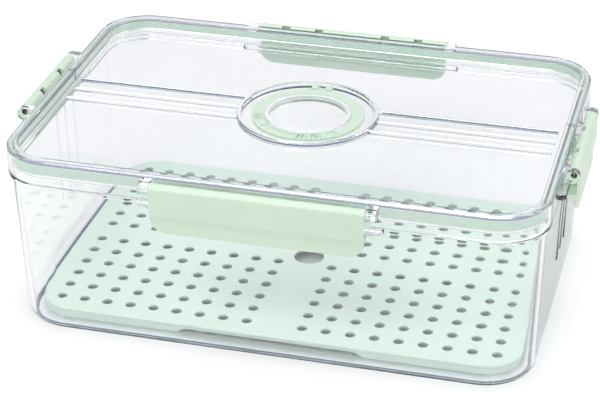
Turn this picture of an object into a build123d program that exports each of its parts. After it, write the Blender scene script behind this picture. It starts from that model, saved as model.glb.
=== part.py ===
"""Fridge produce keeper: a clear tapered box with a drain tray, a sealed lid,
four side latches and a turning date ring on the lid.

Millimetres, +Z up. The origin is the centre of the box's footprint, on the
plane that it stands on. The long sides face -Y (front) and +Y (back).
"""
import math
import os
from collections import namedtuple

from build123d import *

# Lid outline, which the box's flange repeats
lid_length = 308.6
lid_width = 210.6
lid_corner = 29.5

# Heights above the table
flange_underside = 92.3
wall_top = 101.5

# Box
wall = 2.2
floor_thickness = 2.3
wall_taper = 2.6
base_corner = 30.0
base_edge_radius = 4.5
inner_edge_radius = 2.0
flange_thickness = 3.1
flange_edge_radius = 0.9
foot_recess = 0.8
foot_width = 14.0
wall_rib_count = 3
wall_rib_spacing = 13.6
wall_rib_radius = 0.75
wall_rib_bottom = 37.0

# Lid
skirt = 1.8
skirt_gap = 0.3
channel_clearance = 0.3
rim_wall = 1.6
rim_top_thickness = 2.7
rim_outer_radius = 2.2
rim_inner_radius = 0.9
panel_depth = 6.8
panel_thickness = 2.4
plug_depth = 2.3
lid_rib_count = 3
lid_rib_spacing = 13.0
lid_rib_width = 1.8
lid_rib_height = 2.0
lid_rib_edge_radius = 0.7
lid_rib_end_gap = 3.7

# Seal between the wall's top edge and the lid's channel
gasket_height = 6.3
gasket_side_gap = 0.1

# Latch hinges, measured from the lid's skirt and the wall's top edge
hinge_offset = 6.0
hinge_above_wall = 4.0
bar_radius = 1.8
bar_clearance = 0.05
barrel_radius = 3.6
lug_width = 5.6
lug_radius = 3.4
lug_foot = 6.0
lug_clearance = 0.4
lug_root = 1.2
web_width = 4.0
web_thickness = 2.2
web_angle = 40.0
web_clearance = 0.6
web_swing_clearance = 0.3
latch_open_angle = 95.0

# Latches
long_latch_length = 120.0
short_latch_length = 72.0
long_web_spacing = 21.2
short_web_spacing = 28.0
latch_thickness = 2.0
latch_straight = 14.0
latch_waist_drop = 4.4
latch_waist_depth = 1.8
latch_lip_height = 6.4
latch_lip_flare = 1.3
latch_bend_radius = 4.4
latch_corner = 9.0
latch_edge_radius = 0.6
clip_mouth_angle = 50.0
clip_mouth_direction = 50.0
hook_thickness = 2.4
hook_gap = 0.3
hook_reach = 3.0
long_catch_middle = 44.4
short_catch_middle = 26.6
catch_middle_setback = 2.2
catch_middle_thickness = 1.2
hook_tip_radius = 0.8
ledge_reach = 3.2
ledge_overhang = 9.0
ledge_corner = 2.5

# Drain tray
hole_radius = 3.0
hole_columns = 9
hole_rows = 6
hole_margin = 13.6
middle_gap_x = 32.8
middle_gap_y = 19.9
finger_hole_radius = 9.0
tray_side_gap = 5.1
tray_setback = 3.4
tray_height = 6.4
tray_plate = 1.8
tray_overhang = 0.8
tray_skirt = 1.6
tray_corner = 22.0
tray_border = 1.6
tray_border_height = 0.4
tray_edge_radius = 0.8
tray_leg_lift = 2.9
tray_long_gap = 100.0
tray_short_gap = 50.0
tray_step_run = 5.0
tray_lift_clearance = 0.1

# Date dial
collar_radius = 41.4
collar_wall = 2.8
collar_height = 3.5
collar_edge_radius = 0.8
hub_radius = 25.0
hub_wall = 2.2
hub_height = 2.4
hub_lip = 0.8
hub_lip_thickness = 0.6
well_depth = 1.3
ring_clearance = 0.1
ring_float = 0.1
ring_radius = 33.0
ring_height = 1.9
ring_rebate = 0.5
ring_rebate_gap = 0.3
ring_edge_radius = 0.3
tab_width = 3.8
tab_spacing = 8.2
tab_height = 3.0
tab_collar_gap = 0.4
tab_bridge_reach = 2.2
window_depth = 0.7
window_margin = 1.0
window_spans = ((-136.0, -80.0), (-73.0, -65.0), (-55.0, -43.0))

# Derived heights
flange_top = flange_underside + flange_thickness
skirt_bottom = flange_top + skirt_gap
channel_roof = wall_top + gasket_height
lid_top = channel_roof + rim_top_thickness
panel_top = lid_top - panel_depth
panel_bottom = panel_top - panel_thickness
plug_bottom = panel_bottom - plug_depth
hinge_height = wall_top + hinge_above_wall
tray_top = floor_thickness + tray_lift_clearance + tray_height

# Derived insets from the lid's outline
wall_inset = skirt + channel_clearance
channel_inner = wall_inset + wall + channel_clearance
rim_inset = channel_inner + rim_wall

# How far a cutter runs past what it cuts
overcut = 1.0


def outline(inset):
    """The lid's rounded outline, drawn in by an inset."""
    return RectangleRounded(lid_length - 2 * inset, lid_width - 2 * inset, lid_corner - inset)


def prism(inset, bottom, top):
    """An upright block with the lid's outline."""
    return extrude(Pos(0, 0, bottom) * outline(inset), amount=top - bottom)


def wall_inset_at(height):
    """How far the tapered wall's outer face lies inside the lid's outline."""
    share = min(height / flange_underside, 1.0)
    return wall_inset + wall_taper * (1 - share)


def tapered_block(depth, bottom):
    """The tapered wall's shape, offset inwards by a depth, up to the flange."""
    low = wall_inset_at(bottom) + depth
    high = wall_inset + depth
    base = RectangleRounded(lid_length - 2 * low, lid_width - 2 * low, base_corner - depth)
    rim = outline(high)
    return loft([Pos(0, 0, bottom) * base, Pos(0, 0, flange_underside) * rim], ruled=True)


# What sets a latch apart: its length, its catch's thin middle and the webs on its bar
LatchSize = namedtuple("LatchSize", "length middle webs")
long_webs = [i * long_web_spacing for i in (-2, -1, 1, 2)]
short_webs = [-short_web_spacing / 2, short_web_spacing / 2]
long_latch = LatchSize(long_latch_length, long_catch_middle, long_webs)
short_latch = LatchSize(short_latch_length, short_catch_middle, short_webs)


def side_frames():
    """Each latch's name, hinge frame and size. A frame's X runs along the bar, its Y outwards."""
    half_length = lid_length / 2 + hinge_offset
    half_width = lid_width / 2 + hinge_offset
    return [
        ("latch_front", Pos(0, -half_width, hinge_height) * Rot(0, 0, 180), long_latch),
        ("latch_back", Pos(0, half_width, hinge_height), long_latch),
        ("latch_left", Pos(-half_length, 0, hinge_height) * Rot(0, 0, 90), short_latch),
        ("latch_right", Pos(half_length, 0, hinge_height) * Rot(0, 0, -90), short_latch),
    ]


def along_bar(face, length, middle=0.0):
    """Extrude a face drawn in hinge Y and Z along the bar."""
    plane = Plane(origin=(middle - length / 2, 0, 0), x_dir=(0, 1, 0), z_dir=(1, 0, 0))
    return extrude(plane * face, amount=length)


def container():
    """The clear tapered box, with its flange, strike ledges and side ribs."""
    body = tapered_block(0, 0)
    body = fillet(body.faces().sort_by(Axis.Z)[0].edges(), base_edge_radius)
    hollow = tapered_block(wall, floor_thickness)
    hollow = fillet(hollow.faces().sort_by(Axis.Z)[0].edges(), inner_edge_radius)

    hollow += prism(wall_inset + wall, flange_underside, wall_top + overcut)

    flange = prism(0, flange_underside, flange_top)
    for _, frame, size in side_frames():
        ledge_depth = 2 * (ledge_reach + wall_inset)
        ledge = RectangleRounded(size.length + 2 * ledge_overhang, ledge_depth, ledge_corner)
        place = Pos(0, -hinge_offset - wall_inset, flange_underside - hinge_height)
        flange += frame * place * extrude(ledge, amount=flange_thickness)
    body += fillet(flange.edges().filter_by(Plane.XY), flange_edge_radius)
    body += prism(wall_inset, flange_underside, wall_top)
    for side in (-1, 1):
        for i in range(wall_rib_count):
            y = (i - (wall_rib_count - 1) / 2) * wall_rib_spacing
            body += wall_rib(side, y)
    body -= hollow
    body -= prism(wall_inset + wall_taper + foot_width, -overcut, foot_recess)
    return body


def wall_rib(side, y):
    """One upright half-round rib on an end wall, following the wall's taper."""
    low = Vector(side * (lid_length / 2 - wall_inset_at(wall_rib_bottom)), y, wall_rib_bottom)
    high = Vector(side * (lid_length / 2 - wall_inset), y, flange_underside)
    plane = Plane(origin=low, z_dir=high - low)
    return extrude(plane * Circle(wall_rib_radius), amount=(high - low).length)


def hinge_mount(size):
    """The lid's bar for one latch, with its end lugs and the webs between."""
    root = -hinge_offset - lug_root
    lug_face = Polygon(
        (root, -lug_foot), (0, -lug_radius), (0, lug_radius), (root, lug_radius), align=None
    ) + Circle(lug_radius)
    lug_middle = size.length / 2 + lug_clearance + lug_width / 2
    mount = along_bar(Circle(bar_radius), 2 * lug_middle)
    for side in (-1, 1):
        mount += along_bar(lug_face, lug_width, side * lug_middle)
    slope = math.tan(math.radians(web_angle))
    half = web_thickness / 2 / math.cos(math.radians(web_angle))
    web_face = Polygon(
        (root, root * slope - half), (0, -half), (0, half), (root, root * slope + half), align=None
    )
    for x in size.webs:
        mount += along_bar(web_face, web_width, x)
    return mount


def lid():
    """The clear lid: rim, skirt, sunken panel, ribs, dial seat and hinge bars."""
    body = prism(0, skirt_bottom, lid_top)
    body = fillet(body.faces().sort_by(Axis.Z)[-1].edges(), rim_outer_radius)
    body -= prism(rim_inset, panel_top, lid_top + overcut)
    rim_top = body.faces().sort_by(Axis.Z)[-1]
    body = fillet(rim_top.inner_wires()[0].edges(), rim_inner_radius)
    channel = prism(skirt, skirt_bottom - overcut, channel_roof)
    channel -= prism(channel_inner, plug_bottom, channel_roof + overcut)
    body -= channel
    body -= prism(rim_inset, skirt_bottom - overcut, panel_bottom)

    rib_end = lid_length / 2 - rim_inset - lid_rib_end_gap
    rib_start = collar_radius - collar_wall / 2
    for side in (-1, 1):
        for i in range(lid_rib_count):
            y = (i - (lid_rib_count - 1) / 2) * lid_rib_spacing
            start = math.sqrt(rib_start**2 - y**2)
            rib = SlotOverall(rib_end - start, lid_rib_width)
            rib = extrude(rib, amount=lid_rib_height + panel_thickness / 2)
            rib = fillet(rib.faces().sort_by(Axis.Z)[-1].edges(), lid_rib_edge_radius)
            body += Pos(side * (rib_end + start) / 2, y, panel_top - panel_thickness / 2) * rib
    body += dial_seat()
    body -= Pos(0, 0, panel_top - well_depth) * extrude(
        Circle(hub_radius - hub_wall), amount=well_depth + hub_height + overcut
    )
    for _, frame, size in side_frames():
        body += frame * hinge_mount(size)
    return body


def dial_seat():
    """The raised collar and the lipped hub that the date ring turns between."""
    root = panel_top - panel_thickness / 2
    height = collar_height + panel_thickness / 2
    collar = Circle(collar_radius) - Circle(collar_radius - collar_wall)
    seat = Pos(0, 0, root) * extrude(collar, amount=height)
    seat = fillet(seat.faces().sort_by(Axis.Z)[-1].edges(), collar_edge_radius)
    hub = Circle(hub_radius) - Circle(hub_radius - hub_wall)
    seat += Pos(0, 0, root) * extrude(hub, amount=hub_height + panel_thickness / 2)
    lip = Circle(hub_radius + hub_lip) - Circle(hub_radius - hub_wall)
    lip_bottom = panel_top + hub_height - hub_lip_thickness
    seat += Pos(0, 0, lip_bottom) * extrude(lip, amount=hub_lip_thickness)
    return seat


def lid_gasket():
    """The seal ring between the box's top edge and the lid's channel."""
    outer = prism(skirt + gasket_side_gap, wall_top, channel_roof)
    return outer - prism(channel_inner - gasket_side_gap, wall_top - overcut, channel_roof + overcut)


def latch_plate_face():
    """Section of the latch's plate: straight, a shallow waist, then the lip."""
    outer = barrel_radius
    waist = -latch_straight - latch_waist_drop
    path = [
        (outer, 0),
        (outer, -latch_straight),
        (outer - latch_waist_depth, waist),
        (outer - latch_waist_depth + latch_lip_flare, waist - latch_lip_height),
    ]
    inside = [(y - latch_thickness, z) for y, z in path]
    front = FilletPolyline(*path, radius=latch_bend_radius)
    back = FilletPolyline(*inside, radius=latch_bend_radius)
    return make_face(front + back + Line(path[0], inside[0]) + Line(path[-1], inside[-1]))


def web_slot_face():
    """What a web sweeps through in the latch's barrel, from shut to open."""
    reach = 2 * barrel_radius
    half = web_thickness / 2 + web_swing_clearance
    turn = math.radians(latch_open_angle - web_angle)
    along = (-math.cos(turn), math.sin(turn))
    start = (half * along[1], -half * along[0])
    end = (start[0] + reach * along[0], start[1] + reach * along[1])
    inside = barrel_radius - latch_thickness
    return Polygon(
        (-reach, -reach), (inside, -reach), (inside, -half), start, end, (-reach, end[1]), align=None
    )


def latch(size):
    """One latch in its hinge frame, shut: barrel, plate, catch and lip."""
    lip_bottom = -latch_straight - latch_waist_drop - latch_lip_height
    mask_height = 2 * (barrel_radius - lip_bottom)
    mask_face = RectangleRounded(size.length, mask_height, latch_corner)
    place = Plane.XZ * Pos(0, lip_bottom + mask_height / 2)
    mask = extrude(place * mask_face, amount=2 * barrel_radius, both=True)

    plate = along_bar(latch_plate_face(), size.length) & mask
    plate = fillet(plate.faces().sort_by(Axis.Z)[0].edges(), latch_edge_radius)
    body = plate + along_bar(Circle(barrel_radius), size.length)

    catch_top = flange_underside - hinge_height - hook_gap
    plate_inside = barrel_radius - latch_thickness
    tip = -hinge_offset + ledge_reach - hook_reach
    root = plate_inside + latch_thickness / 4
    catch_length = (size.length - size.middle) / 2
    for side in (-1, 1):
        hook = Pos((tip + root) / 2, catch_top - hook_thickness / 2) * Rectangle(root - tip, hook_thickness)
        hook = fillet(hook.vertices().sort_by(Axis.X)[:2], hook_tip_radius)
        body += along_bar(hook, catch_length, side * (size.middle + catch_length) / 2)
    middle_tip = tip + catch_middle_setback
    middle_z = catch_top - hook_thickness + catch_middle_thickness / 2
    web = Pos((middle_tip + root) / 2, middle_z) * Rectangle(root - middle_tip, catch_middle_thickness)
    body += along_bar(web, size.middle)

    bore = Circle(bar_radius + bar_clearance) + clip_mouth_face()
    body -= along_bar(bore, size.length + 2 * overcut)
    for x in size.webs:
        body -= along_bar(web_slot_face(), web_width + 2 * web_clearance, x)
    return body


def clip_mouth_face():
    """The wedge that opens the latch's barrel, so that it clips onto its bar."""
    reach = 2 * barrel_radius

    def corner(angle):
        return (-reach * math.sin(math.radians(angle)), -reach * math.cos(math.radians(angle)))

    start = clip_mouth_direction - clip_mouth_angle / 2
    end = clip_mouth_direction + clip_mouth_angle / 2
    return Polygon((0, 0), corner(start), corner(end), align=None)


def drain_tray():
    """The raised perforated tray, with a skirt that is cut away between its legs."""
    clear = wall_inset_at(floor_thickness) + wall + tray_side_gap
    length = lid_length - 2 * clear
    width = lid_width - 2 * clear

    def block(inset, low, high):
        face = RectangleRounded(length - 2 * inset, width - 2 * inset, tray_corner - inset)
        return extrude(Pos(0, 0, low) * face, amount=high - low)

    bottom = tray_top - tray_height
    plate_top = tray_top - tray_border_height
    plate_bottom = plate_top - tray_plate
    body = block(0, plate_bottom, tray_top)
    body = fillet(body.edges().filter_by(Plane.XY), tray_edge_radius)
    body -= block(tray_border, plate_top, tray_top + overcut)
    skirt_ring = block(tray_overhang, bottom, plate_bottom + tray_plate / 2)
    body += skirt_ring - block(tray_overhang + tray_skirt, bottom - overcut, plate_bottom)

    body -= extrude(Plane.XZ * Pos(0, bottom) * leg_gap(tray_long_gap), amount=width, both=True)
    body -= extrude(Plane.YZ * Pos(0, bottom) * leg_gap(tray_short_gap), amount=length, both=True)

    pitch_x = (length / 2 - hole_margin - middle_gap_x / 2) / (hole_columns - 1)
    pitch_y = (width / 2 - hole_margin - middle_gap_y / 2) / (hole_rows - 1)
    step_x = middle_gap_x + (hole_columns - 1) * pitch_x
    step_y = middle_gap_y + (hole_rows - 1) * pitch_y
    holes = Sketch() + [
        block_place * place * Circle(hole_radius)
        for block_place in GridLocations(step_x, step_y, 2, 2)
        for place in GridLocations(pitch_x, pitch_y, hole_columns, hole_rows)
    ]
    holes += Circle(finger_hole_radius)
    body -= extrude(Pos(0, 0, bottom) * holes, amount=tray_height + overcut)
    return Pos(0, tray_setback, 0) * body


def leg_gap(length):
    """The opening under the skirt between two legs, with sloping ends."""
    half = length / 2
    return Polygon(
        (-half - tray_step_run, 0),
        (half + tray_step_run, 0),
        (half, tray_leg_lift),
        (-half, tray_leg_lift),
        align=None,
    )


def sector(inner, outer, start, end):
    """A piece of a flat ring between two angles in degrees."""
    middle = (start + end) / 2
    reach = 2 * outer

    def at(angle):
        return (reach * math.cos(math.radians(angle)), reach * math.sin(math.radians(angle)))

    wedge = Polygon((0, 0), at(start), at(middle), at(end), align=None)
    return (Circle(outer) - Circle(inner)) & wedge


def dial_ring():
    """The date ring: a flat ring with two pointer tabs and sunk windows."""
    inner = hub_radius + ring_clearance
    bottom = panel_top + ring_float
    top = bottom + ring_height
    body = extrude(Pos(0, 0, bottom) * (Circle(ring_radius) - Circle(inner)), amount=ring_height)
    body = fillet(body.faces().sort_by(Axis.Z)[-1].edges(), ring_edge_radius)

    tab_reach = collar_radius - collar_wall - tab_collar_gap
    tab_root = ring_radius - window_margin
    seat = Circle(tab_reach) - Circle(tab_root - ring_edge_radius)
    tabs = Sketch() + [
        Pos(side * tab_spacing / 2, ring_radius) * Rectangle(tab_width, ring_radius) for side in (-1, 1)
    ]
    body += Pos(0, 0, bottom) * extrude(seat & tabs, amount=tab_height)
    bridge_seat = Circle(ring_radius + tab_bridge_reach) - Circle(tab_root)
    bridge = bridge_seat & (Pos(0, ring_radius) * Rectangle(tab_spacing, ring_radius))
    body += Pos(0, 0, bottom) * extrude(bridge, amount=ring_height)

    rebate_radius = hub_radius + hub_lip + ring_rebate_gap
    rebate = extrude(Circle(rebate_radius), amount=ring_rebate + overcut)
    body -= Pos(0, 0, top - ring_rebate) * rebate
    for start, end in window_spans:
        window = sector(rebate_radius + window_margin, ring_radius - window_margin, start, end)
        body -= Pos(0, 0, top - window_depth) * extrude(window, amount=window_depth + overcut)
    return body


def build():
    """Every node of the object, by name."""
    nodes = {
        "container": container(),
        "lid": lid(),
        "lid_gasket": lid_gasket(),
        "drain_tray": drain_tray(),
        "dial_ring": dial_ring(),
    }
    for name, frame, size in side_frames():
        nodes[name] = frame * latch(size)
    return nodes


def main():
    os.makedirs("parts", exist_ok=True)
    for name, shape in build().items():
        solids = shape.solids()
        export_step(solids[0] if len(solids) == 1 else Compound(solids), f"parts/{name}.step")
        size = shape.bounding_box().size
        print(f"{name}: {len(solids)} solid, {size.X:.1f} x {size.Y:.1f} x {size.Z:.1f} mm")


main()
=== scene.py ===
"""Dresses the fridge produce keeper: a clear box and lid with mint latches, tray and ring."""
import math

import bmesh
import bpy
from mathutils import Matrix, Vector


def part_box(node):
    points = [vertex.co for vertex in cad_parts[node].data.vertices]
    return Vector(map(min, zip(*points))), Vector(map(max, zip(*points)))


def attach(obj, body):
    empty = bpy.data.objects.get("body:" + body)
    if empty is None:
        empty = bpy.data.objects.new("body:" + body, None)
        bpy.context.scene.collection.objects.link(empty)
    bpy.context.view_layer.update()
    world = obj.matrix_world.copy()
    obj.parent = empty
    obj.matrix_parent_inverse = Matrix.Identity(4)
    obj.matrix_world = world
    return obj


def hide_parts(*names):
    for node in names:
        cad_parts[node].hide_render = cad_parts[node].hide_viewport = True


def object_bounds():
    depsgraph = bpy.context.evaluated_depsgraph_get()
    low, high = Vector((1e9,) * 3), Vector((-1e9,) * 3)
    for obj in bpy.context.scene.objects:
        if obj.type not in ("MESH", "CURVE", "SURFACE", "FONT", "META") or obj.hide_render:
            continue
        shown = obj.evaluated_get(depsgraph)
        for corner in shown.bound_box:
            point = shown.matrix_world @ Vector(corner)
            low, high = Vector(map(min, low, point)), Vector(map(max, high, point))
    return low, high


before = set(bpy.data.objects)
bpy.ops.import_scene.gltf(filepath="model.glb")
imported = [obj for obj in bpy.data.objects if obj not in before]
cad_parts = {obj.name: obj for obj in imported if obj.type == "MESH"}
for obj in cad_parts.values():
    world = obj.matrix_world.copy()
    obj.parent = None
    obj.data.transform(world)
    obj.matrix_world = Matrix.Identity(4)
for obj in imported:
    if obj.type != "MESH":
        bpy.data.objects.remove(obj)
cad_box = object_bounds()

MM = 0.001

# Where the photograph was taken from, in metres and degrees
CAMERA_PLACE = Vector((0.26441, -1.01993, 0.62247))
CAMERA_AZIMUTH = -14.793
CAMERA_ELEVATION = 28.716
CAMERA_ROLL = -0.2016
CAMERA_LENS = 121.12
SENSOR_WIDTH = 36.0

# Linear colours of the clear plastic: head on; a painted dark shade at grazing angles, standing in for
# the dark reflections along its edges; painted shade on the box's floor plate and in its foot; painted
# dark lines of shade on the lid; and what its walls leave of the light behind them
WHITE = (1.0, 1.0, 1.0)
CLEAR_TINT = (0.99, 0.991, 0.995)
EDGE_PAINTED_SHADE = (0.16, 0.19, 0.27)
PLATE_PAINTED_SHADE = (0.87, 0.905, 0.9)
FOOT_PAINTED_SHADE = (0.03, 0.05, 0.1)
LID_LINE_PAINTED_SHADE = (0.06, 0.08, 0.17)
WALL_SHADOW = (0.97, 0.975, 0.98)

# Linear colours of the mint pieces
LATCH_MINT = (0.6, 0.73, 0.595)
TRAY_MINT = (0.66, 0.79, 0.71)
RING_MINT = (0.59, 0.72, 0.6)
# The marks' darker mint is painted shade on the raised marks
MARK_SHADED_MINT = (0.44, 0.58, 0.44)
SEAL_MINT = (0.53, 0.7, 0.61)
PLASTIC_IOR = 1.5
SILICONE_IOR = 1.41

# The clear plastic: the share of its painted edge shade where it starts and halfway to grazing, where
# its haze starts and is full, its roughness and how much that varies, and over how many bounces deep
# rays fade
EDGE_FAINT = 0.02
EDGE_HALFWAY = 0.45
HAZE_START = 0.6
HAZE_FULL = 0.8
POLISH = 0.008
POLISH_WEAR = 0.012
RAY_FADE = 2.0

# How much the grain and the cloudiness vary the other pieces' roughness
GRAIN_SPREAD = 0.1
SILICONE_ROUGHNESS = 0.35
SILICONE_SPREAD = 0.15

# The pale floor: its size and paint, the soft shade around the clear base, where it turns white
# towards the horizon, and its own light near the box, away from it and through clear plastic
FLOOR_REACH = 3.0
FLOOR_PAINT = (0.86, 0.86, 0.865)
CONTACT_REACH = 12.0 * MM
CONTACT_SHADE = 0.9
HORIZON_START = 0.25
FLOOR_GLOW = 0.02
FAR_GLOW = 0.2
GLOW_THROUGH = 0.06
FADE_OUT = 3.0

# The sky: its brightness by height for gloss and clear plastic, its tint, and its plain level for
# matt surfaces; then where the lamps point, and how often light bounces
SKY_BANDS = [(0.0, 0.8), (0.12, 0.6), (0.22, 0.35), (0.32, 0.4), (0.42, 0.75), (0.6, 0.8), (0.75, 1.0)]
SKY_TINT = (0.86, 0.89, 1.0)
SKY_LEVEL = (0.58, 0.58, 0.58)
LAMP_TARGET = (0.0, 0.0, 0.05)
LIGHT_BOUNCES = 24

# The lid: half its length and width, its corner radius and its top, and the seal inside its skirt
SEAL_GAP = 1.9 * MM
LID_CORNER = 29.5 * MM
LID_OUTLINE = (
    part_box("lid_gasket")[1].x + SEAL_GAP,
    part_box("lid_gasket")[1].y + SEAL_GAP,
    LID_CORNER,
)
LID_TOP = cad_box[1][2]
SEAL_WIDTH = 1.2 * MM
SEAL_CORNER_STEPS = 24

# The lid's dark lines of painted shade: the rim's inner edge by its depth inside the outline and its
# height, the rear rib's far flank by its Y and its start in X, and the foot of the wall around the date
# ring
RIM_LINE = (5.55 * MM, 6.6 * MM)
RIM_HEIGHTS = (LID_TOP - 1.5 * MM, LID_TOP - 0.45 * MM)
RIM_SHARE = 0.8
RIB_FLANK = (13.0 * MM, 14.0 * MM)
RIB_REACH = 40.8 * MM
SEAT_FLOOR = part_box("dial_ring")[0].z - 0.1 * MM
COLLAR_RADIUS = 38.6 * MM
COLLAR_SHADE = 1.3 * MM
FEATHER = 0.1 * MM

# The box's base: half its length and width, its corner radius, and where the painted shade of its floor
# plate and its foot ends and fades
BASE_OUTLINE = (149.6 * MM, 100.6 * MM, 30.0 * MM)
FLOOR_EDGE = 5.0 * MM
FLOOR_FADE = 2.0 * MM
FLOOR_TOP = 2.35 * MM
FOOT_TOP = 3.2 * MM
FOOT_FULL = 0.7 * FOOT_TOP
FOOT_FADE = 1.0 * MM

# The drain tray's parts
TRAY_CORNER = 22.0 * MM
TRAY_PLATE = 1.8 * MM
TRAY_BORDER = 1.6 * MM
TRAY_BORDER_HEIGHT = 0.4 * MM
TRAY_OVERHANG = 0.8 * MM
TRAY_SKIRT = 1.6 * MM
SKIRT_LAP = 0.5 * MM
SKIRT_STEP = 1.25 * MM
TRAY_CORNER_STEPS = 16
TRAY_HOLE_STEPS = 16
FINGER_HOLE_STEPS = 48

# The date ring's height and its marks, which stand a little above its face
RING_HEIGHT = 1.9 * MM
MARK_RADIUS = 29.4 * MM
MARK_LENGTH = 4.4 * MM
MARK_WIDTH = 0.9 * MM
MARK_HEIGHT = 0.25 * MM
MARK_ROOT = 0.9 * MM

# Edges sharper than these stay sharp, points closer than these are joined, and a swept band is
# rounded by a share of its width
SHARP_ANGLE = math.radians(35)
TRAY_SHARP_ANGLE = math.radians(50)
WELD = 0.002 * MM
GROWN_WELD = 0.01 * MM
ROUND_SHARE = 0.48
BEAD_ROUND_SHARE = 0.49
ROUND_STEPS = 6


class Value:
    """A node's output that takes part in Python arithmetic."""

    def __init__(self, graph, socket):
        self.graph = graph
        self.socket = socket

    def _with(self, operation, first, second):
        return self.graph.node("ShaderNodeMath", {0: first, 1: second}, operation=operation)

    def __add__(self, other):
        return self._with("ADD", self, other)

    def __radd__(self, other):
        return self._with("ADD", other, self)

    def __sub__(self, other):
        return self._with("SUBTRACT", self, other)

    def __rsub__(self, other):
        return self._with("SUBTRACT", other, self)

    def __mul__(self, other):
        return self._with("MULTIPLY", self, other)

    def __rmul__(self, other):
        return self._with("MULTIPLY", other, self)

    def __truediv__(self, other):
        return self._with("DIVIDE", self, other)


class Graph:
    """A node tree that grows by one call per node."""

    def __init__(self, tree):
        self.tree = tree
        tree.nodes.clear()

    def node(self, kind, sockets=None, out=0, **settings):
        """Adds a node: its settings come first, then its sockets' values or links."""
        made = self.tree.nodes.new(kind)
        for name, value in settings.items():
            setattr(made, name, value)
        for name, value in (sockets or {}).items():
            if isinstance(value, Value):
                self.tree.links.new(value.socket, made.inputs[name])
            else:
                made.inputs[name].default_value = value
        return Value(self, made.outputs[out]) if len(made.outputs) else made

    def mix(self, share, first, second):
        """A colour between two colours."""
        return self.node("ShaderNodeMix", {0: share, 6: first, 7: second}, out=2, data_type="RGBA")

    def number(self, operation, *terms):
        """A Math node that has no operator."""
        return self.node("ShaderNodeMath", dict(enumerate(terms)), operation=operation)

    def ramp(self, share, stops):
        """A grey value that follows a number through its stops."""
        grey = self.node("ShaderNodeValToRGB", {0: share})
        elements = grey.socket.node.color_ramp.elements
        while len(elements) < len(stops):
            elements.new(1.0)
        for element, (position, shade) in zip(elements, stops):
            element.position = position
            element.color = (shade, shade, shade, 1.0)
        return grey

    def span(self, value, low, high):
        """A number that goes from 0 to 1 as a value goes from low to high."""
        return self.node("ShaderNodeMapRange", {0: value, 1: low, 2: high, 3: 0.0, 4: 1.0})

    def band(self, value, low, high):
        """1 where a value is between low and high, with a narrow fade to 0 outside."""
        return self.span(value, low - FEATHER, low) * self.span(value, high + FEATHER, high)

    def most(self, first, second):
        """The larger of two numbers."""
        return self.number("MAXIMUM", first, second)

    def parts(self, place):
        """A place's X, Y and Z."""
        return [self.node("ShaderNodeSeparateXYZ", {0: place}, out=axis) for axis in range(3)]

    def object_place(self):
        """Where a point lies on the piece, in the object's own frame."""
        return self.node("ShaderNodeTexCoord", out="Object")

    def ray(self, kind):
        """One of the outputs that say which ray is looking."""
        return self.node("ShaderNodeLightPath", out=kind)


class Recipe(Graph):
    """A Geometry Nodes tree with named sizes, which makes one plain mesh."""

    def __init__(self, name, sizes):
        super().__init__(bpy.data.node_groups.new(name, "GeometryNodeTree"))
        self.sizes = sizes
        for key, value in sizes.items():
            kind = "NodeSocketInt" if isinstance(value, int) else "NodeSocketFloat"
            self.tree.interface.new_socket(key, in_out="INPUT", socket_type=kind)
        self.tree.interface.new_socket("Geometry", in_out="OUTPUT", socket_type="NodeSocketGeometry")
        self.entry = self.tree.nodes.new("NodeGroupInput")

    def size(self, key):
        """One of the named sizes."""
        return Value(self, self.entry.outputs[key])

    def join(self, *parts):
        """Several geometries as one."""
        made = self.tree.nodes.new("GeometryNodeJoinGeometry")
        for part in parts:
            self.tree.links.new(part.socket, made.inputs[0])
        return Value(self, made.outputs[0])

    def vector(self, x=0.0, y=0.0, z=0.0):
        """A place or an offset from its three parts."""
        return self.node("ShaderNodeCombineXYZ", {0: x, 1: y, 2: z})

    def place(self):
        """Each point's X, Y and Z."""
        return self.parts(self.node("GeometryNodeInputPosition"))

    def moved(self, geometry, x=0.0, y=0.0, z=0.0):
        """A geometry, moved."""
        sockets = {"Geometry": geometry, "Translation": self.vector(x, y, z)}
        return self.node("GeometryNodeTransform", sockets)

    def rounded(self, length, width, corner, steps):
        """A flat closed curve: a rectangle with round corners."""
        sockets = {"Width": length, "Height": width}
        straight = self.node("GeometryNodeCurvePrimitiveQuadrilateral", sockets)
        sockets = {"Curve": straight, "Radius": corner, "Count": steps}
        return self.node("GeometryNodeFilletCurve", sockets, mode="POLY")

    def swept(self, path, section):
        """A tube of one section along a path."""
        return self.node("GeometryNodeCurveToMesh", {"Curve": path, "Profile Curve": section})

    def piece(self, geometry, material):
        """The finished geometry, with its material, as a plain mesh."""
        whole = self.node("GeometryNodeRealizeInstances", {0: geometry})
        whole = self.node("GeometryNodeSetMaterial", {0: whole, "Material": material})
        self.node("NodeGroupOutput", {0: whole})
        name = self.tree.name
        piece = bpy.data.objects.new(name, bpy.data.meshes.new(name))
        bpy.context.scene.collection.objects.link(piece)
        grown = piece.modifiers.new("recipe", "NODES")
        grown.node_group = self.tree
        for item in self.tree.interface.items_tree:
            if item.in_out == "INPUT":
                grown[item.identifier] = self.sizes[item.name]
        return applied(piece)


def rgba(colour, gain=1.0):
    """A colour with its alpha, lightened or darkened by a gain."""
    return tuple(min(c * gain, 1.0) for c in colour) + (1.0,)


def new_material(name):
    """An empty material and the graph that fills it."""
    material = bpy.data.materials.new(name)
    material.use_nodes = True
    return material, Graph(material.node_tree)


def noise(graph, place, scale, detail=2.0, roughness=0.5):
    """Smooth noise between 0 and 1, with features of 1/scale metres."""
    sockets = {"Vector": place, "Scale": scale, "Detail": detail, "Roughness": roughness}
    return graph.node("ShaderNodeTexNoise", sockets)


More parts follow.
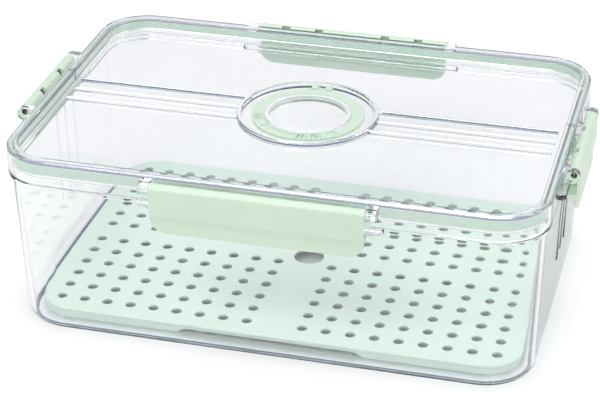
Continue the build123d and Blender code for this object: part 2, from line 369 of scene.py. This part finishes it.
def depth_inside(g, place, half_length, half_width, corner):
    """How far inside a rounded rectangle a place is, negative outside, and its height."""
    x, y, z = g.parts(place)
    beyond_x = g.number("ABSOLUTE", x) - (half_length - corner)
    beyond_y = g.number("ABSOLUTE", y) - (half_width - corner)
    round_x = g.most(beyond_x, 0.0)
    round_y = g.most(beyond_y, 0.0)
    outside = g.number("SQRT", round_x * round_x + round_y * round_y)
    inside = g.number("MINIMUM", g.most(beyond_x, beyond_y), 0.0)
    return corner - outside - inside, z


def painted_base_shade(g, place):
    """Where the box's floor plate and its foot are painted darker than the thin walls, as painted
    shade.
    """
    depth, z = depth_inside(g, place, *BASE_OUTLINE)
    within = g.span(depth, FLOOR_EDGE, FLOOR_EDGE + FLOOR_FADE)
    around = g.span(depth, FLOOR_EDGE, FLOOR_EDGE - FOOT_FADE)
    plate = within * g.span(z, FLOOR_TOP + 3.0 * FEATHER, FLOOR_TOP)
    foot = around * g.span(z, FOOT_TOP, FOOT_FULL)
    return plate, foot


def painted_lid_lines(g, place):
    """Where the lid gets dark lines of painted shade: the rear rib's flank, the collar's foot and the
    rim's inner edge.
    """
    x, y, z = g.parts(place)
    above = g.span(z, SEAT_FLOOR + FEATHER, SEAT_FLOOR + 3.0 * FEATHER)
    rib = above * g.band(y, *RIB_FLANK) * g.span(g.number("ABSOLUTE", x), RIB_REACH, RIB_REACH + MM)
    low = g.span(z, SEAT_FLOOR + COLLAR_SHADE + 3.0 * FEATHER, SEAT_FLOOR + COLLAR_SHADE)
    from_wall = g.number("ABSOLUTE", g.number("SQRT", x * x + y * y) - COLLAR_RADIUS)
    collar = above * low * g.span(from_wall, 3.5 * FEATHER, 2.0 * FEATHER)
    depth, z = depth_inside(g, place, *LID_OUTLINE)
    rim = g.band(depth, *RIM_LINE) * g.band(z, *RIM_HEIGHTS)
    return g.most(g.most(rib, collar), RIM_SHARE * rim)


def clear_plastic(name, grazing_haze, shadow_tint, edge_start, deep_ray, has_floor=False):
    """Polished clear plastic, with a faint flow waviness from moulding.

    It is painted darker from edge_start of the way to grazing, a painted shade for the dark
    reflections along its edges. Rays to lamps, rays from matt surfaces and rays that bounced more
    than deep_ray times pass straight through. The box has a floor, whose painted shade tints those
    rays too; its floor plate and foot are painted darker as shade, and the lid gets painted dark lines.
    """
    material, g = new_material(name)
    place = g.object_place()
    flow = noise(g, place, scale=14.0)
    haze = noise(g, place, scale=420.0, detail=3.0)
    facing = g.node("ShaderNodeLayerWeight", {"Blend": 0.5}, out="Facing")
    halfway = 0.5 + edge_start / 2
    # A painted dark shade towards grazing angles, standing in for the dark reflections along the edges
    edge = g.ramp(facing, [(0.0, 0.0), (edge_start, EDGE_FAINT), (halfway, EDGE_HALFWAY), (1.0, 1.0)])
    slant = g.ramp(facing, [(0.0, 0.0), (HAZE_START, 0.0), (HAZE_FULL, 1.0), (1.0, 1.0)])
    tint = g.mix(edge, rgba(CLEAR_TINT), rgba(EDGE_PAINTED_SHADE))
    # Painted shade: the box's floor plate and foot are darkened, or the lid gets dark lines
    if has_floor:
        plate, foot = painted_base_shade(g, place)
        tint = g.mix(plate, tint, rgba(PLATE_PAINTED_SHADE))
        tint = g.mix(foot, tint, rgba(FOOT_PAINTED_SHADE))
    else:
        tint = g.mix(painted_lid_lines(g, place), tint, rgba(LID_LINE_PAINTED_SHADE))
    bump = g.node("ShaderNodeBump", {"Strength": 0.012, "Distance": 0.4 * MM, "Height": flow})
    surface = g.node("ShaderNodeBsdfPrincipled", {
        "Base Color": tint,
        "Roughness": POLISH + POLISH_WEAR * haze + grazing_haze * slant,
        "IOR": PLASTIC_IOR,
        "Transmission Weight": 1.0,
        "Normal": bump,
    })
    deep = g.span(g.ray("Ray Depth"), deep_ray, deep_ray + RAY_FADE)
    passing = g.most(g.most(g.ray("Is Shadow Ray"), g.ray("Is Diffuse Ray")), deep)
    if has_floor:
        # Light through the floor plate is dimmed by its painted shade
        through_floor = g.node("ShaderNodeBsdfTransparent", {"Color": rgba(PLATE_PAINTED_SHADE)})
        surface = g.node("ShaderNodeMixShader", {0: passing, 1: surface, 2: through_floor})
        passing = passing * (1.0 - plate)
    light = g.node("ShaderNodeBsdfTransparent", {"Color": rgba(shadow_tint)})
    surface = g.node("ShaderNodeMixShader", {0: passing, 1: surface, 2: light})
    g.node("ShaderNodeOutputMaterial", {"Surface": surface})
    return material


def moulded(name, colour, roughness):
    """Opaque moulded plastic: even colour with a soft mottle and a fine spark-eroded grain."""
    material, g = new_material(name)
    place = g.object_place()
    mottle = noise(g, place, scale=45.0, detail=3.0)
    pores = noise(g, place, scale=700.0, roughness=0.6)
    shade = g.mix(mottle, rgba(colour, gain=0.965), rgba(colour, gain=1.03))
    bump = g.node("ShaderNodeBump", {"Strength": 0.12, "Distance": 0.05 * MM, "Height": pores})
    surface = g.node("ShaderNodeBsdfPrincipled", {
        "Base Color": shade,
        "Roughness": roughness + GRAIN_SPREAD * pores,
        "IOR": PLASTIC_IOR,
        "Subsurface Weight": 0.12,
        "Subsurface Scale": 2.0 * MM,
        "Normal": bump,
    })
    g.node("ShaderNodeOutputMaterial", {"Surface": surface})
    return material


def silicone():
    """Translucent mint silicone."""
    material, g = new_material("silicone")
    cloud = noise(g, g.object_place(), scale=60.0, detail=3.0)
    shade = g.mix(cloud, rgba(SEAL_MINT, gain=0.95), rgba(SEAL_MINT, gain=1.05))
    surface = g.node("ShaderNodeBsdfPrincipled", {
        "Base Color": shade,
        "Roughness": SILICONE_ROUGHNESS + SILICONE_SPREAD * cloud,
        "IOR": SILICONE_IOR,
        "Subsurface Weight": 0.5,
        "Subsurface Scale": 3.0 * MM,
    })
    g.node("ShaderNodeOutputMaterial", {"Surface": surface})
    return material


def applied(piece):
    """Turns a piece's modifiers into plain mesh."""
    bpy.context.view_layer.update()
    evaluated = piece.evaluated_get(bpy.context.evaluated_depsgraph_get())
    mesh = bpy.data.meshes.new_from_object(evaluated)
    mesh.name = piece.name
    piece.modifiers.clear()
    piece.data = mesh
    return piece


def smoothed(shape, sharp_angle):
    """Smooth faces, apart from the edges that are sharper than an angle."""
    for face in shape.faces:
        face.smooth = True
    for edge in shape.edges:
        edge.smooth = len(edge.link_faces) == 2 and edge.calc_face_angle(0.0) < sharp_angle


def evened(piece):
    """Normals that follow a piece's large faces."""
    weight = piece.modifiers.new("even_normals", "WEIGHTED_NORMAL")
    weight.keep_sharp = True
    weight.weight = 100
    return applied(piece)


def dressed_in(piece, material):
    """Gives a piece one material for all of its faces."""
    piece.data.materials.clear()
    piece.data.materials.append(material)
    return piece


def standing_for(piece, node, body):
    """Hides the node a piece stands for and attaches the piece to the body that carries it."""
    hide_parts(node)
    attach(piece, body)


def welded_copy(node, name, material, body):
    """A node's mesh with its faces joined and its normals smoothed, standing for the node."""
    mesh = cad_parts[node].data.copy()
    mesh.name = name
    shape = bmesh.new()
    shape.from_mesh(mesh)
    bmesh.ops.remove_doubles(shape, verts=shape.verts, dist=WELD)
    smoothed(shape, SHARP_ANGLE)
    shape.to_mesh(mesh)
    shape.free()
    piece = bpy.data.objects.new(name, mesh)
    bpy.context.scene.collection.objects.link(piece)
    dressed_in(evened(piece), material)
    standing_for(piece, node, body)


def turned_out(piece, material, sharp_angle):
    """A grown piece with its faces outwards and its round parts smooth."""
    shape = bmesh.new()
    shape.from_mesh(piece.data)
    bmesh.ops.recalc_face_normals(shape, faces=shape.faces)
    smoothed(shape, sharp_angle)
    for face in shape.faces:
        face.material_index = 0
    shape.to_mesh(piece.data)
    shape.free()
    return dressed_in(evened(piece), material)


def seal_ring(material):
    """The silicone seal: a round-edged band against the lid's skirt."""
    low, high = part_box("lid_gasket")
    g = Recipe("seal_ring", {
        "Length": 2 * high.x,
        "Width": 2 * high.y,
        "Corner": LID_CORNER - SEAL_GAP,
        "Corner Steps": SEAL_CORNER_STEPS,
        "Bottom": low.z,
        "Height": high.z - low.z,
        "Thickness": SEAL_WIDTH,
    })
    thickness = g.size("Thickness")
    height = g.size("Height")
    length = g.size("Length") - thickness
    width = g.size("Width") - thickness
    path = g.rounded(length, width, g.size("Corner") - thickness * 0.5, g.size("Corner Steps"))
    section = g.rounded(thickness, height, thickness * ROUND_SHARE, ROUND_STEPS)
    band = g.moved(g.swept(path, section), z=g.size("Bottom") + height * 0.5)
    piece = turned_out(g.piece(band, material), material, SHARP_ANGLE)
    standing_for(piece, "lid_gasket", "box")


def hole_places(g):
    """Points for the tray's holes: four blocks, with wider gaps along the tray's middle lines."""
    middle_x = g.size("Middle Gap Along")
    middle_y = g.size("Middle Gap Across")
    pitch_x = (g.size("Length") * 0.5 - g.size("Margin") - middle_x * 0.5) / (g.size("Columns") - 1.0)
    pitch_y = (g.size("Width") * 0.5 - g.size("Margin") - middle_y * 0.5) / (g.size("Rows") - 1.0)
    count_x = g.size("Columns") * 2.0
    count_y = g.size("Rows") * 2.0
    grid = g.node("GeometryNodeMeshGrid", {
        "Size X": pitch_x * (count_x - 1.0),
        "Size Y": pitch_y * (count_y - 1.0),
        "Vertices X": count_x,
        "Vertices Y": count_y,
    })
    x, y, _ = g.place()
    shift = g.vector(
        g.number("SIGN", x) * (middle_x - pitch_x) * 0.5,
        g.number("SIGN", y) * (middle_y - pitch_y) * 0.5,
    )
    return g.node("GeometryNodeSetPosition", {"Geometry": grid, "Offset": shift})


def hole_wall(g, radius, steps):
    """A hole's wall through the plate, with softened edges at both ends."""
    soft = g.size("Edge Softening")
    top = g.size("Plate Top")
    bottom = g.size("Plate Bottom")

    def cone(low, high, start, depth):
        sockets = {"Vertices": steps, "Radius Top": high, "Radius Bottom": low, "Depth": depth}
        return g.moved(g.node("GeometryNodeMeshCone", sockets, fill_type="NONE"), z=start)

    return g.join(
        cone(radius + soft, radius, bottom, soft),
        cone(radius, radius, bottom + soft, top - bottom - 2.0 * soft),
        cone(radius, radius + soft, top - soft, soft),
    )


def tray_outline(g, inset):
    """The tray's outline, moved inwards."""
    length = g.size("Length") - 2.0 * inset
    width = g.size("Width") - 2.0 * inset
    return g.rounded(length, width, g.size("Corner") - inset, TRAY_CORNER_STEPS)


def tray_plate(g):
    """The tray's flat plate with all of its holes."""
    soft = g.size("Edge Softening")
    places = hole_places(g)

    def everywhere(shape):
        put = g.node("GeometryNodeInstanceOnPoints", {"Points": places, "Instance": shape})
        return g.node("GeometryNodeRealizeInstances", {0: put})

    def circle(radius, steps):
        return g.node("GeometryNodeCurvePrimitiveCircle", {"Resolution": steps, "Radius": radius})

    edge = tray_outline(g, g.size("Border") * 0.5)
    outline = g.join(
        edge,
        everywhere(circle(g.size("Hole Radius") + soft, TRAY_HOLE_STEPS)),
        circle(g.size("Finger Hole Radius") + soft, FINGER_HOLE_STEPS),
    )
    face = g.node("GeometryNodeFillCurve", {0: outline}, mode="TRIANGLES")
    rise = g.vector(z=g.size("Plate Top") - g.size("Plate Bottom"))
    wire = g.node("GeometryNodeCurveToMesh", {0: edge})
    sockets = {"Mesh": wire, "Offset": rise, "Offset Scale": 1.0}
    wall = g.node("GeometryNodeExtrudeMesh", sockets, mode="EDGES")
    whole = g.join(
        g.moved(face, z=g.size("Plate Top")),
        g.node("GeometryNodeFlipFaces", {0: g.moved(face, z=g.size("Plate Bottom"))}),
        g.moved(wall, z=g.size("Plate Bottom")),
        everywhere(hole_wall(g, g.size("Hole Radius"), TRAY_HOLE_STEPS)),
        hole_wall(g, g.size("Finger Hole Radius"), FINGER_HOLE_STEPS),
    )
    return g.node("GeometryNodeMergeByDistance", {"Geometry": whole, "Distance": GROWN_WELD})


def tray_bead(g):
    """The round bead along the tray's edge."""
    width = g.size("Border")
    bottom = g.size("Plate Bottom")
    height = g.size("Top") - bottom
    path = tray_outline(g, width * 0.5)
    section = g.rounded(width, height, width * BEAD_ROUND_SHARE, ROUND_STEPS)
    return g.moved(g.swept(path, section), z=bottom + height * 0.5)


def tray_skirt(g):
    """The tray's set-back skirt, cut away under its edge between the legs."""
    thickness = g.size("Skirt Thickness")
    bottom = g.size("Underside")
    height = g.size("Plate Bottom") + SKIRT_LAP - bottom
    path = tray_outline(g, g.size("Overhang") + thickness * 0.5)
    path = g.node("GeometryNodeResampleCurve", {"Curve": path, "Length": SKIRT_STEP}, mode="LENGTH")
    section = g.node("GeometryNodeCurvePrimitiveQuadrilateral", {"Width": thickness, "Height": height})
    band = g.moved(g.swept(path, section), z=bottom + height * 0.5)
    x, y, z = g.place()

    def opening(along, gap, across, half_span):
        near = (gap * 0.5 + g.size("Gap Run") - g.number("ABSOLUTE", along)) / g.size("Gap Run")
        near = g.node("ShaderNodeClamp", {0: near})
        on_side = g.number("GREATER_THAN", g.number("ABSOLUTE", across), half_span - g.size("Corner"))
        return near * on_side

    front = opening(x, g.size("Long Gap"), y, g.size("Width") * 0.5)
    ends = opening(y, g.size("Short Gap"), x, g.size("Length") * 0.5)
    foot = g.number("LESS_THAN", z, bottom + height * 0.5)
    lift = g.most(front, ends) * foot * g.size("Gap Lift")
    return g.node("GeometryNodeSetPosition", {"Geometry": band, "Offset": g.vector(z=lift)})


def perforated_tray(material):
    """The mint drain tray: perforated plate, round bead and legged skirt."""
    low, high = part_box("drain_tray")
    g = Recipe("perforated_tray", {
        "Length": high.x - low.x,
        "Width": high.y - low.y,
        "Setback": (high.y + low.y) / 2,
        "Corner": TRAY_CORNER,
        "Underside": low.z,
        "Top": high.z,
        "Plate Bottom": high.z - TRAY_BORDER_HEIGHT - TRAY_PLATE,
        "Plate Top": high.z - TRAY_BORDER_HEIGHT,
        "Border": TRAY_BORDER,
        "Overhang": TRAY_OVERHANG,
        "Skirt Thickness": TRAY_SKIRT,
        "Columns": 9,
        "Rows": 6,
        "Margin": 13.6 * MM,
        "Middle Gap Along": 32.8 * MM,
        "Middle Gap Across": 19.9 * MM,
        "Hole Radius": 3.0 * MM,
        "Finger Hole Radius": 9.0 * MM,
        "Edge Softening": 0.3 * MM,
        "Long Gap": 100.0 * MM,
        "Short Gap": 50.0 * MM,
        "Gap Run": 5.0 * MM,
        "Gap Lift": 2.9 * MM,
    })
    whole = g.join(tray_plate(g), tray_bead(g), tray_skirt(g))
    grown = g.piece(g.moved(whole, y=g.size("Setback")), material)
    piece = turned_out(grown, material, TRAY_SHARP_ANGLE)
    standing_for(piece, "drain_tray", "tray")


def date_marks(material):
    """Plain raised marks on the date ring, in two groups."""
    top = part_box("dial_ring")[0].z + RING_HEIGHT
    g = Recipe("date_marks", {
        "First Count": 6,
        "First Angle": -88.0,
        "Second Count": 3,
        "Second Angle": -163.0,
        "Step": 5.2,
        "Radius": MARK_RADIUS,
        "Length": MARK_LENGTH,
        "Width": MARK_WIDTH,
        "Top": top + MARK_HEIGHT,
        "Root": MARK_ROOT,
    })
    bar = g.node("GeometryNodeMeshCube", {
        "Size": g.vector(g.size("Length"), g.size("Width"), g.size("Root")),
    })
    height = g.size("Top") - g.size("Root") * 0.5

    def arc(count, start):
        index = g.node("GeometryNodeInputIndex")
        turn = g.number("RADIANS", g.size(start) + index * g.size("Step"))
        spot = g.vector(
            g.number("COSINE", turn) * g.size("Radius"),
            g.number("SINE", turn) * g.size("Radius"),
            height,
        )
        points = g.node("GeometryNodePoints", {"Count": g.size(count), "Position": spot})
        return g.node("GeometryNodeInstanceOnPoints", {
            "Points": points,
            "Instance": bar,
            "Rotation": g.vector(z=turn),
        })

    both = g.join(arc("First Count", "First Angle"), arc("Second Count", "Second Angle"))
    piece = turned_out(g.piece(both, material), material, SHARP_ANGLE)
    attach(piece, "date_ring")


def pale_floor():
    """The pale floor: it keeps the object's shadow, and shows white elsewhere."""
    side = FLOOR_REACH
    corners = [(-side, -side, 0), (side, -side, 0), (side, side, 0), (-side, side, 0)]
    mesh = bpy.data.meshes.new("floor")
    mesh.from_pydata(corners, [], [(0, 1, 2, 3)])
    floor = bpy.data.objects.new("floor", mesh)
    bpy.context.scene.collection.objects.link(floor)
    material, g = new_material("pale_floor")
    seen = g.ray("Is Camera Ray")
    depth, _ = depth_inside(g, g.object_place(), *BASE_OUTLINE)
    near = g.span(depth, -CONTACT_REACH, 0.0)
    far = g.span(depth, -CONTACT_REACH, -FADE_OUT * CONTACT_REACH)
    horizon = g.span(depth, -HORIZON_START, -FADE_OUT * HORIZON_START)
    shown = seen * (FLOOR_GLOW + FAR_GLOW * far + horizon) + GLOW_THROUGH * g.ray("Is Transmission Ray")
    paint = g.node("ShaderNodeBsdfDiffuse", {"Color": rgba(FLOOR_PAINT)})
    shade = g.node("ShaderNodeBsdfDiffuse", {"Color": rgba(FLOOR_PAINT, gain=CONTACT_SHADE)})
    paint = g.node("ShaderNodeMixShader", {0: near * near * seen, 1: paint, 2: shade})
    white = g.node("ShaderNodeEmission", {"Color": rgba(WHITE), "Strength": 1.0})
    glow = g.node("ShaderNodeMixShader", {0: shown, 2: white})
    surface = g.node("ShaderNodeAddShader", {0: paint, 1: glow})
    g.node("ShaderNodeOutputMaterial", {"Surface": surface})
    mesh.materials.append(material)


def studio_world():
    """White where the camera looks past the floor; a darker sky for gloss and clear plastic."""
    world = bpy.data.worlds.new("studio")
    bpy.context.scene.world = world
    world.use_nodes = True
    g = Graph(world.node_tree)
    way = g.node("ShaderNodeTexCoord", out="Generated")
    height = g.node("ShaderNodeSeparateXYZ", {0: way}, out="Z")
    sockets = {0: 1.0, 6: g.ramp(height, SKY_BANDS), 7: rgba(SKY_TINT)}
    sky = g.node("ShaderNodeMix", sockets, out=2, data_type="RGBA", blend_type="MULTIPLY")
    lit = g.mix(g.ray("Is Diffuse Ray"), sky, rgba(SKY_LEVEL))
    colour = g.mix(g.ray("Is Camera Ray"), lit, rgba(WHITE))
    glow = g.node("ShaderNodeBackground", {"Color": colour, "Strength": 1.0})
    g.node("ShaderNodeOutputWorld", {"Surface": glow})


def soft_lamp(name, place, width, depth, power):
    """A soft box that points at the object."""
    lamp = bpy.data.lights.new(name, "AREA")
    lamp.shape = "RECTANGLE"
    lamp.size = width
    lamp.size_y = depth
    lamp.energy = power
    holder = bpy.data.objects.new(name, lamp)
    holder.location = place
    holder.rotation_euler = (Vector(LAMP_TARGET) - Vector(place)).to_track_quat("-Z", "Y").to_euler()
    holder.visible_camera = False
    bpy.context.scene.collection.objects.link(holder)


def photo_camera():
    """The camera at the photograph's place and angle."""
    azimuth = math.radians(CAMERA_AZIMUTH)
    elevation = math.radians(CAMERA_ELEVATION)
    roll = math.radians(CAMERA_ROLL)
    ahead = Vector((
        math.sin(azimuth) * math.cos(elevation),
        math.cos(azimuth) * math.cos(elevation),
        -math.sin(elevation),
    ))
    level = Vector((math.cos(azimuth), -math.sin(azimuth), 0.0))
    upward = level.cross(ahead)
    right = math.cos(roll) * level + math.sin(roll) * upward
    up = math.cos(roll) * upward - math.sin(roll) * level
    lens = bpy.data.cameras.new("photo_camera")
    lens.lens = CAMERA_LENS
    lens.sensor_width = SENSOR_WIDTH
    lens.clip_start = 0.01
    camera = bpy.data.objects.new("photo_camera", lens)
    turned = Matrix((right, up, -ahead)).transposed().to_4x4()
    camera.matrix_world = Matrix.Translation(CAMERA_PLACE) @ turned
    bpy.context.scene.collection.objects.link(camera)
    bpy.context.scene.camera = camera


def dress():
    """Every piece of the object with its finish."""
    clear_lid = clear_plastic(
        "clear_lid_plastic", grazing_haze=0.0, shadow_tint=CLEAR_TINT, edge_start=0.7, deep_ray=4.2)
    clear_box = clear_plastic(
        "clear_box_plastic", grazing_haze=0.12, shadow_tint=WALL_SHADOW, edge_start=0.82, deep_ray=7.0,
        has_floor=True)
    latch = moulded("latch_plastic", LATCH_MINT, roughness=0.3)
    tray = moulded("tray_plastic", TRAY_MINT, roughness=0.35)
    ring = moulded("ring_plastic", RING_MINT, roughness=0.3)
    # The marks are painted a darker mint, as shade
    mark = moulded("mark_shaded_plastic", MARK_SHADED_MINT, roughness=0.3)
    seal = silicone()
    welded_copy("container", "clear_box", clear_box, "box")
    welded_copy("lid", "clear_lid", clear_lid, "box")
    seal_ring(seal)
    perforated_tray(tray)
    welded_copy("dial_ring", "date_ring", ring, "date_ring")
    date_marks(mark)
    for side in ("front", "back", "left", "right"):
        welded_copy(f"latch_{side}", f"{side}_latch", latch, f"{side}_latch")


def stage():
    """Floor, light and camera."""
    pale_floor()
    studio_world()
    soft_lamp("overhead", place=(-0.2, 0.3, 2.5), width=2.2, depth=2.0, power=22.0)
    soft_lamp("front_key", place=(-0.3, -1.2, 1.45), width=0.8, depth=0.6, power=12.5)
    soft_lamp("right_fill", place=(1.3, 0.1, 0.7), width=0.8, depth=0.6, power=4.0)
    photo_camera()
    scene = bpy.context.scene
    scene.view_settings.view_transform = "Standard"
    scene.cycles.max_bounces = LIGHT_BOUNCES
    scene.cycles.transmission_bounces = LIGHT_BOUNCES
    scene.cycles.transparent_max_bounces = LIGHT_BOUNCES


dress()
stage()
